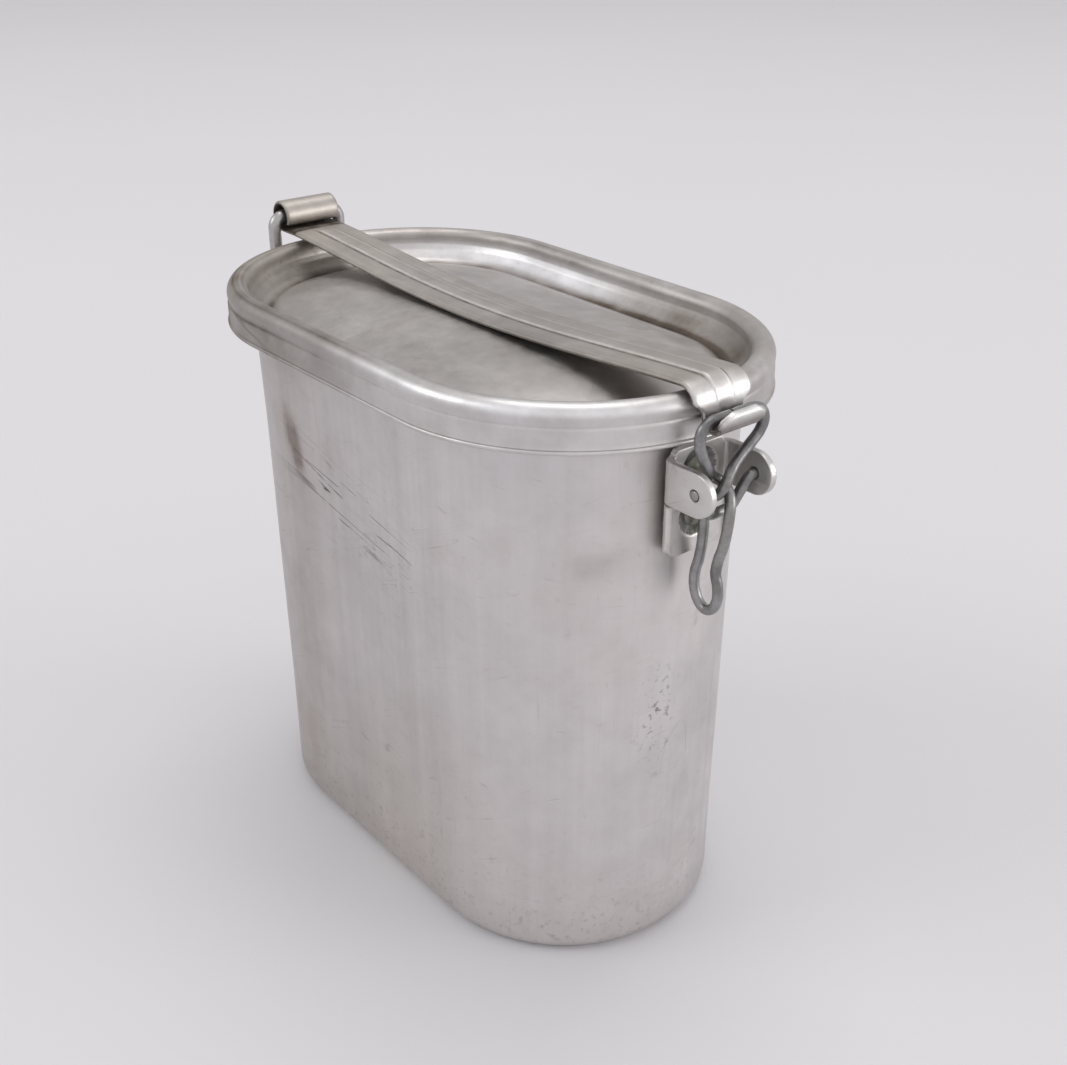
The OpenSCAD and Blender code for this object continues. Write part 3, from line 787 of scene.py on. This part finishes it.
def latch_link():
    """A V-shaped stirrup: its ends lie in the bracket's ears, and its low bend in the lever."""
    px, pz = PIVOT
    qx, qz = LEVER_O
    drop, lean = math.hypot(px - qx, pz - qz), math.atan2(px - qx, pz - qz)
    slope, low_bend, high_bend, low_y, end_y = 65, 2.6, 1.6, 2.2, 11.7
    c, k = math.cos(math.radians(slope)), math.sin(math.radians(slope))
    leg = (drop - (low_bend + high_bend) * (1 - c)) / k
    high_y = low_y + (low_bend + high_bend) * k + leg * c
    half_path = [(0, -drop)] + arc((low_y, low_bend - drop), low_bend, -90, slope - 90, 10)
    half_path += arc((high_y, -high_bend), high_bend, 90 + slope, 90, 8) + [(end_y, 0)]
    path = [(-y, z) for y, z in half_path[::-1]][:-1] + half_path
    path = resample(path, 0.7)
    points = [(px + math.sin(lean) * z, y, pz + math.cos(lean) * z) for y, z in path]
    verts, faces, flow = tube(points, WIRE_D, 24, 0.05, round_ends=0.5)
    make("link_wire", verts, faces, "link", ["latch_link"], latch_wire, flow)


# From the bail in the strap's hook, down one strand, round the finger loop and up the other.
LEVER_ROUTE = [
    (1.6, 0.3, 25.7), (1.6, 4, 25.7), (1.6, 7.8, 25.6), (1.5, 10.7, 24.4),
    (1.4, 12, 21.6), (1.4, 10.5, 18.6), (1.4, 7, 15.8), (1.7, 3.2, 13.2),
    (2.2, 0.5, 10.8), (2.4, -1.3, 8.2), (1.5, -2.3, 5.9), (-0.6, -2.3, 4.3),
    (-2.6, -1.7, 2), (-3.5, -1.4, -1.5), (-3.7, -1.2, -5.5), (-4, -1.1, -10),
    (-4.8, -1, -14.5), (-5.8, -1, -18.5), (-5.8, -1, -22.5), (-4.3, -1, -26),
    (-1.7, -1, -27.6), (0.9, -1, -26.4), (2.2, -1, -23.2), (2, -1, -19.6),
    (1.1, -1, -16.4), (1.6, -1, -12.6), (2.8, -0.9, -8.6), (3.6, -0.8, -4),
    (3.8, -0.5, 0.6), (3.2, 0.1, 3.8), (1.6, 0.8, 5.9), (-0.5, 0.6, 7.6),
    (-1.1, -1.8, 9.4), (0, -4.1, 11.2), (1, -6.2, 13.6), (1.4, -8.4, 17),
    (1.4, -9.8, 20.6), (1.5, -9.5, 23.6), (1.6, -7.4, 25.4), (1.6, -3.6, 25.7),
    (1.6, -0.3, 25.7)]


def closing_lever():
    """One bent wire: a bail, a twist, and a finger loop with the link through it."""
    points = catmull(LEVER_ROUTE, 8) + np.array((LEVER_O[0], 0, LEVER_O[1]))
    verts, faces, flow = tube(points, WIRE_D, 24, 0.05, round_ends=0.2)
    make("lever_wire", verts, faces, "lever", ["closing_lever"], latch_wire, flow)


# ------------------------------------------------------------------ brackets
BEND_R, EAR_R, TOP, BOTTOM = 3.0, 5.7, RIM_Z - 12.2, RIM_Z - 41.2
BEND_MID_R = BEND_R - BRACKET_T / 2
BEND_LENGTH = BEND_MID_R * math.pi / 2
EAR_REACH = PIVOT[0] - (PLATE_IN + BEND_R)


def blank_outline(half_w):
    """The flat blank's outline: u along the sheet from the middle, v the height."""
    flat, corner = half_w - BEND_R, min(6.0, half_w - 1)
    ear_u = flat + BEND_LENGTH + EAR_REACH
    low, high = PIVOT[1] - EAR_R, PIVOT[1] + EAR_R
    right = [(half_w - corner, BOTTOM)]
    right += [(half_w - corner + corner * math.sin(a), BOTTOM + corner - corner * math.cos(a))
              for a in np.radians(np.linspace(10, 90, 9))]
    right += [(half_w, low - 0.9), (half_w - 0.4, low - 0.5), (flat + 0.5, low - 0.5),
              (flat + 0.2, low - 0.3), (flat + 0.5, low)]
    right += [(ear_u + EAR_R * math.cos(a), PIVOT[1] + EAR_R * math.sin(a))
              for a in np.radians(np.linspace(-90, 90, 19))]
    right += [(flat + 0.5, high), (flat, high + 0.4), (flat, TOP - 0.8), (flat - 0.8, TOP)]
    return right + [(-u, v) for u, v in right[::-1]]


def blank_mesh(name, outlines):
    """A flat sheet with bevelled edges: its outline, then its holes."""
    bevel = 0.3
    curve = bpy.data.curves.new(name, "CURVE")
    curve.dimensions, curve.fill_mode = "2D", "BOTH"
    curve.extrude, curve.bevel_depth = BRACKET_T / 2 - bevel, bevel
    curve.bevel_resolution, curve.offset = 2, -bevel
    for points in outlines:
        spline = curve.splines.new("POLY")
        spline.points.add(len(points) - 1)
        for q, (u, v) in zip(spline.points, points):
            q.co = (u, v, 0, 1)
        spline.use_cyclic_u = True
    holder = bpy.data.objects.new(name + "_blank", curve)
    bpy.context.scene.collection.objects.link(holder)
    bpy.context.view_layer.update()
    mesh = bpy.data.meshes.new_from_object(holder)
    bpy.data.objects.remove(holder)
    bm = bmesh.new()
    bm.from_mesh(mesh)
    bmesh.ops.remove_doubles(bm, verts=bm.verts, dist=1e-4)
    return bm


def dimpled(u, z, dimple_r):
    """How deep a dimple is pressed at a point, from 0 to 1."""
    sink = 0.0
    for rivet_z in RIVET_Z:
        k = min(1.0, max(0.0, (dimple_r - math.hypot(u, z - rivet_z)) / 1.5))
        sink = max(sink, k * k * (3 - 2 * k))
    return sink


def folded(u, w, half_w):
    """Where a point of the blank is once its ears are bent: out from the pot, and across."""
    flat = half_w - BEND_R
    if u <= flat:
        return PLATE_IN + BRACKET_T / 2 + w, u
    if u <= flat + BEND_LENGTH:
        angle, radius = (u - flat) / BEND_MID_R, BEND_MID_R - w
        return PLATE_IN + BEND_R - radius * math.cos(angle), flat + radius * math.sin(angle)
    return PLATE_IN + BEND_R + (u - flat - BEND_LENGTH), half_w - BRACKET_T / 2 - w


def bracket(name, side, half_w, dimple_r, hole_r, node):
    """Pressed clevis bracket: a flat blank, cut, dimpled and then bent."""
    flat = half_w - BEND_R
    ear_u = flat + BEND_LENGTH + EAR_REACH
    outlines = [blank_outline(half_w)]
    outlines += [[(u0 + hole_r * math.cos(a), PIVOT[1] + hole_r * math.sin(a))
                  for a in np.radians(np.linspace(0, 360, 24, endpoint=False))]
                 for u0 in (-ear_u, ear_u)]
    bm = blank_mesh(name, outlines)
    # cuts that give the dimples and the bends enough faces
    step = 0.55
    cuts = [((u, 0, 0), (1, 0, 0)) for u in np.arange(-dimple_r - 1.5, dimple_r + 1.6, step)]
    cuts += [((u * k, 0, 0), (1, 0, 0)) for k in (-1, 1)
             for u in np.linspace(flat, flat + BEND_LENGTH, 9)]
    cuts += [((0, v, 0), (0, 1, 0)) for z in RIVET_Z
             for v in np.arange(z - dimple_r - 0.8, z + dimple_r + 0.9, step)]
    for where, way in cuts:
        bmesh.ops.bisect_plane(bm, geom=bm.verts[:] + bm.edges[:] + bm.faces[:], dist=1e-5,
                               plane_co=where, plane_no=way)
    for v in bm.verts:
        u, z, w = v.co
        # the dimples press the sheet towards the pot
        x, y = folded(abs(u), w - 0.78 * dimpled(u, z, dimple_r), half_w)
        v.co = (side * x, side * math.copysign(y, u), z)
    bmesh.ops.recalc_face_normals(bm, faces=bm.faces)
    verts = [tuple(v.co) for v in bm.verts]
    bm.verts.index_update()
    faces = [tuple(v.index for v in f.verts) for f in bm.faces]
    bm.free()
    # dirt and painted shade in the dimples
    soil_and_shade = [float(abs(x) < PLATE_IN + BEND_R
                  and any(math.hypot(y, z - rivet_z) < dimple_r - 0.5 for rivet_z in RIVET_Z))
            for x, y, z in verts]
    obj = make(name, verts, faces, "pot", [node], bracket_metal,
               paint={"soil_and_shade": soil_and_shade})
    bpy.ops.object.select_all(action="DESELECT")
    obj.select_set(True)
    bpy.context.view_layer.objects.active = obj
    bpy.ops.object.shade_smooth_by_angle(angle=math.radians(38))


def rivets(name, side, node):
    """Two domed rivets, revolved about X, with the inner heads inside the pot."""
    head_x = PLATE_IN + BRACKET_T - 0.98
    inner_x = WALL_X - SHEET - 0.35 - TAPER * 0.25
    profile = [(inner_x - 1, 0.01), (inner_x - 1, 2.6), (inner_x - 0.9, 3.0), (inner_x - 0.2, 3.6),
               (inner_x, 3.6), (inner_x + 0.05, 2.0), (head_x - 0.02, 2.0), (head_x, 3.5),
               (head_x + 0.25, 3.68), (head_x + 0.6, 3.5), (head_x + 1.0, 3.0),
               (head_x + 1.35, 2.2), (head_x + 1.6, 1.2), (head_x + 1.68, 0.01)]
    profile = rounded(profile, [0.15] * (len(profile) - 2), 3)
    sides, verts, faces = 40, [], []
    for z in RIVET_Z:
        start = len(verts)
        for x, r in profile:
            for k in range(sides):
                a = 2 * math.pi * k / sides
                verts.append((side * x, r * math.cos(a), z + r * math.sin(a)))
        faces += [tuple(start + i for i in f) for f in grid_faces(len(profile), sides, False, True)]
        faces.append(tuple(range(start, start + sides)))
        faces.append(tuple(range(len(verts) - 1, len(verts) - 1 - sides, -1)))
    verts = np.array(verts)
    # hammered heads: only ever lower than they were drawn
    dome = np.abs(verts[:, 0]) > head_x + 0.3
    verts[:, 0] -= side * dome * 0.12 * (1 + wave(verts, 1.6, 9))
    make(name, verts, faces, "pot", [node], rivet_metal)


pot()
lid()
strap()
rear_ring()
latch_link()
closing_lever()
bracket("front_clevis", 1, 11.3, 6.4, 1.5, "front_bracket")
bracket("rear_clevis", -1, 7.4, 5.6, 2.1, "rear_bracket")
rivets("front_rivet_pair", 1, "front_rivets")
rivets("rear_rivet_pair", -1, "rear_rivets")


# --------------------------------------------------------------------- stage
def floor():
    """A wide sheet of pale paper that the canteen stands on."""
    n = Nodes("floor_paper")
    plain = n.place((1, 1, 1))
    tone = n.noise(plain, 3, 3, 0.5)
    n.link(n.mix(tone, (0.655, 0.645, 0.665), (0.68, 0.67, 0.69)), n.shader.inputs["Base Color"])
    n.shader.inputs["Roughness"].default_value = 0.6
    n.shader.inputs["Specular IOR Level"].default_value = 0.25
    n.link(n.relief(n.noise(plain, 700, 3, 0.6), 0.25, 0.2 * MM), n.shader.inputs["Normal"])
    mesh = bpy.data.meshes.new("floor")
    half = 6.0
    corners = [(-half, -half, 0), (half, -half, 0), (half, half, 0), (-half, half, 0)]
    mesh.from_pydata(corners, [], [(0, 1, 2, 3)])
    mesh.materials.append(n.material)
    obj = bpy.data.objects.new("floor", mesh)
    bpy.context.scene.collection.objects.link(obj)


def area_light(name, place, target, size, power, colour):
    """A soft rectangular light that faces a point."""
    data = bpy.data.lights.new(name, "AREA")
    data.shape, data.size, data.size_y = "RECTANGLE", size[0], size[1]
    data.energy, data.color = power, colour
    obj = bpy.data.objects.new(name, data)
    obj.location = place
    obj.rotation_euler = (Vector(target) - Vector(place)).to_track_quat("-Z", "Y").to_euler()
    bpy.context.scene.collection.objects.link(obj)


def studio():
    """A plain pale room, a little brighter towards +X."""
    world = bpy.data.worlds.new("studio")
    world.use_nodes = True
    tree = world.node_tree
    background = tree.nodes["Background"]
    aim = tree.nodes.new("ShaderNodeSeparateXYZ")
    tree.links.new(tree.nodes.new("ShaderNodeTexCoord").outputs["Generated"], aim.inputs[0])
    grade = tree.nodes.new("ShaderNodeMapRange")
    for key, value in (("From Min", -1.0), ("From Max", 0.6), ("To Min", 0.55), ("To Max", 0.86)):
        grade.inputs[key].default_value = value
    tree.links.new(aim.outputs["X"], grade.inputs["Value"])
    tree.links.new(grade.outputs["Result"], background.inputs["Strength"])
    background.inputs["Color"].default_value = (1.0, 0.985, 1.0, 1)
    bpy.context.scene.world = world
    bpy.context.scene.view_settings.view_transform = "Standard"


def camera(place, target, lens):
    """A camera on the near right, above the lid, that looks down at the canteen."""
    data = bpy.data.cameras.new("camera")
    data.lens, data.sensor_width = lens, 36
    data.clip_start, data.clip_end = 0.01, 30
    obj = bpy.data.objects.new("camera", data)
    obj.location = place
    obj.rotation_mode = "QUATERNION"
    obj.rotation_quaternion = (Vector(target) - obj.location).to_track_quat("-Z", "Y")
    bpy.context.scene.collection.objects.link(obj)
    bpy.context.scene.camera = obj


floor()
area_light("overhead", (-0.4, 0.6, 3.0), (0, 0, 0.1), (1.6, 1.6), 22, (1.0, 0.99, 0.99))
area_light("right_back", (2.4, 2.0, 0.8), (0, 0, 0.12), (1.7, 1.2), 24, (1.0, 0.985, 0.98))
area_light("left_front", (-1.3, -2.1, 1.9), (0, 0, 0.12), (1.6, 1.2), 18, (0.99, 0.99, 1.0))
studio()
camera((0.2922, -0.2229, 0.2862), (-0.00907, 0.02528, 0.0874), 45.9)
